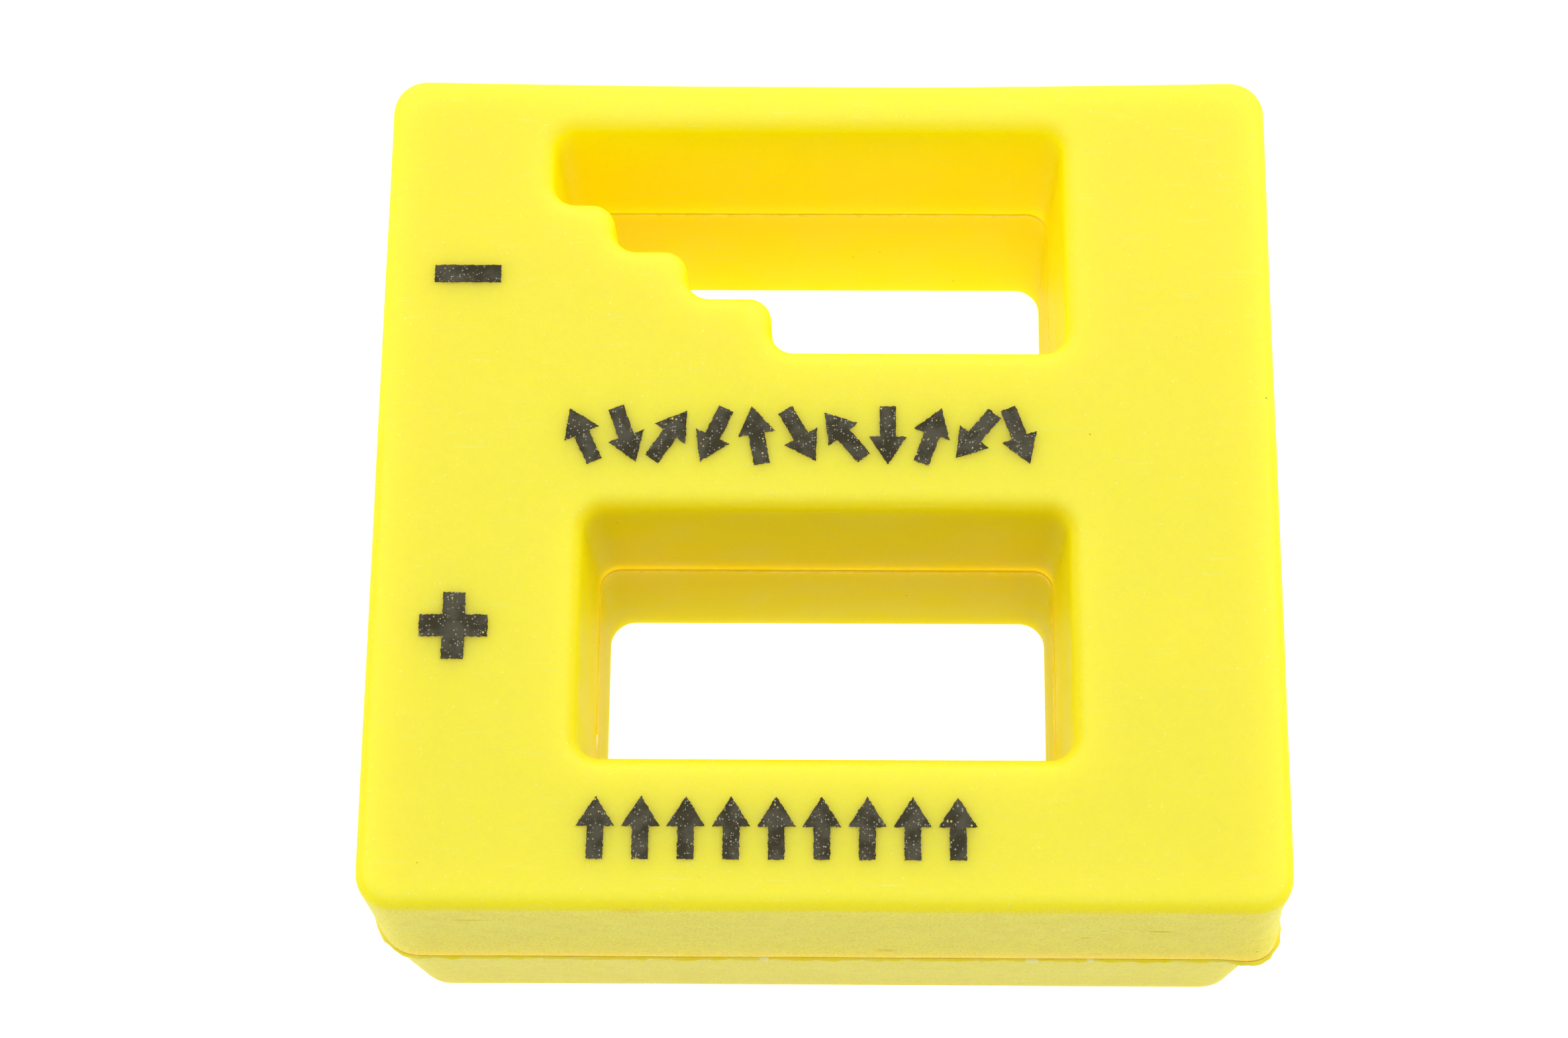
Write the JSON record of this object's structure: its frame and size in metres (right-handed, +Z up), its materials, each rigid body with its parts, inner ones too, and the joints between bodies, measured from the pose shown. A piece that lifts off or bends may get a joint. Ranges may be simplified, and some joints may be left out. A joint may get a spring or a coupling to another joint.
{
  "type": "demagnetizer",
  "caption": "Moulded block with a plain through window to magnetize small tools and a stepped one to demagnetize them.",
  "frame": {"origin": "centre of the bottom face, which the block rests on", "axes": "+Z up through the windows, out of the printed face; +X to the right along the block's longest side; +Y from the plain window's side to the stepped window's side; all at rest on a bench"},
  "size_m": [0.0522, 0.0502, 0.028],
  "materials": {
    "body_plastic": "satin moulded yellow plastic with a fine grain",
    "seam_cement": "squeezed-out cement and flash of the same plastic, a little paler and glossier",
    "print_ink": "matt dark grey pad-printed ink",
    "ferrite": "sintered and ground ferrite, dark grey and matt",
    "adhesive": "cloudy cream hot-melt adhesive"
  },
  "bodies": {
    "root": {"lower_shell": "body_plastic", "upper_shell": "body_plastic", "seam_bead_outer": "seam_cement", "seam_bead_magnetize": "seam_cement", "seam_bead_demagnetize": "seam_cement", "front_magnet": "ferrite", "front_adhesive_left": "adhesive", "front_adhesive_right": "adhesive", "bridge_magnet": "ferrite", "bridge_adhesive_left": "adhesive", "bridge_adhesive_right": "adhesive", "plus_mark": "print_ink", "minus_mark": "print_ink", "demagnetize_arrow_1": "print_ink", "demagnetize_arrow_2": "print_ink", "demagnetize_arrow_3": "print_ink", "demagnetize_arrow_4": "print_ink", "demagnetize_arrow_5": "print_ink", "demagnetize_arrow_6": "print_ink", "demagnetize_arrow_7": "print_ink", "demagnetize_arrow_8": "print_ink", "demagnetize_arrow_9": "print_ink", "demagnetize_arrow_10": "print_ink", "demagnetize_arrow_11": "print_ink", "magnetize_arrow_1": "print_ink", "magnetize_arrow_2": "print_ink", "magnetize_arrow_3": "print_ink", "magnetize_arrow_4": "print_ink", "magnetize_arrow_5": "print_ink", "magnetize_arrow_6": "print_ink", "magnetize_arrow_7": "print_ink", "magnetize_arrow_8": "print_ink", "magnetize_arrow_9": "print_ink"}
  },
  "joints": []
}
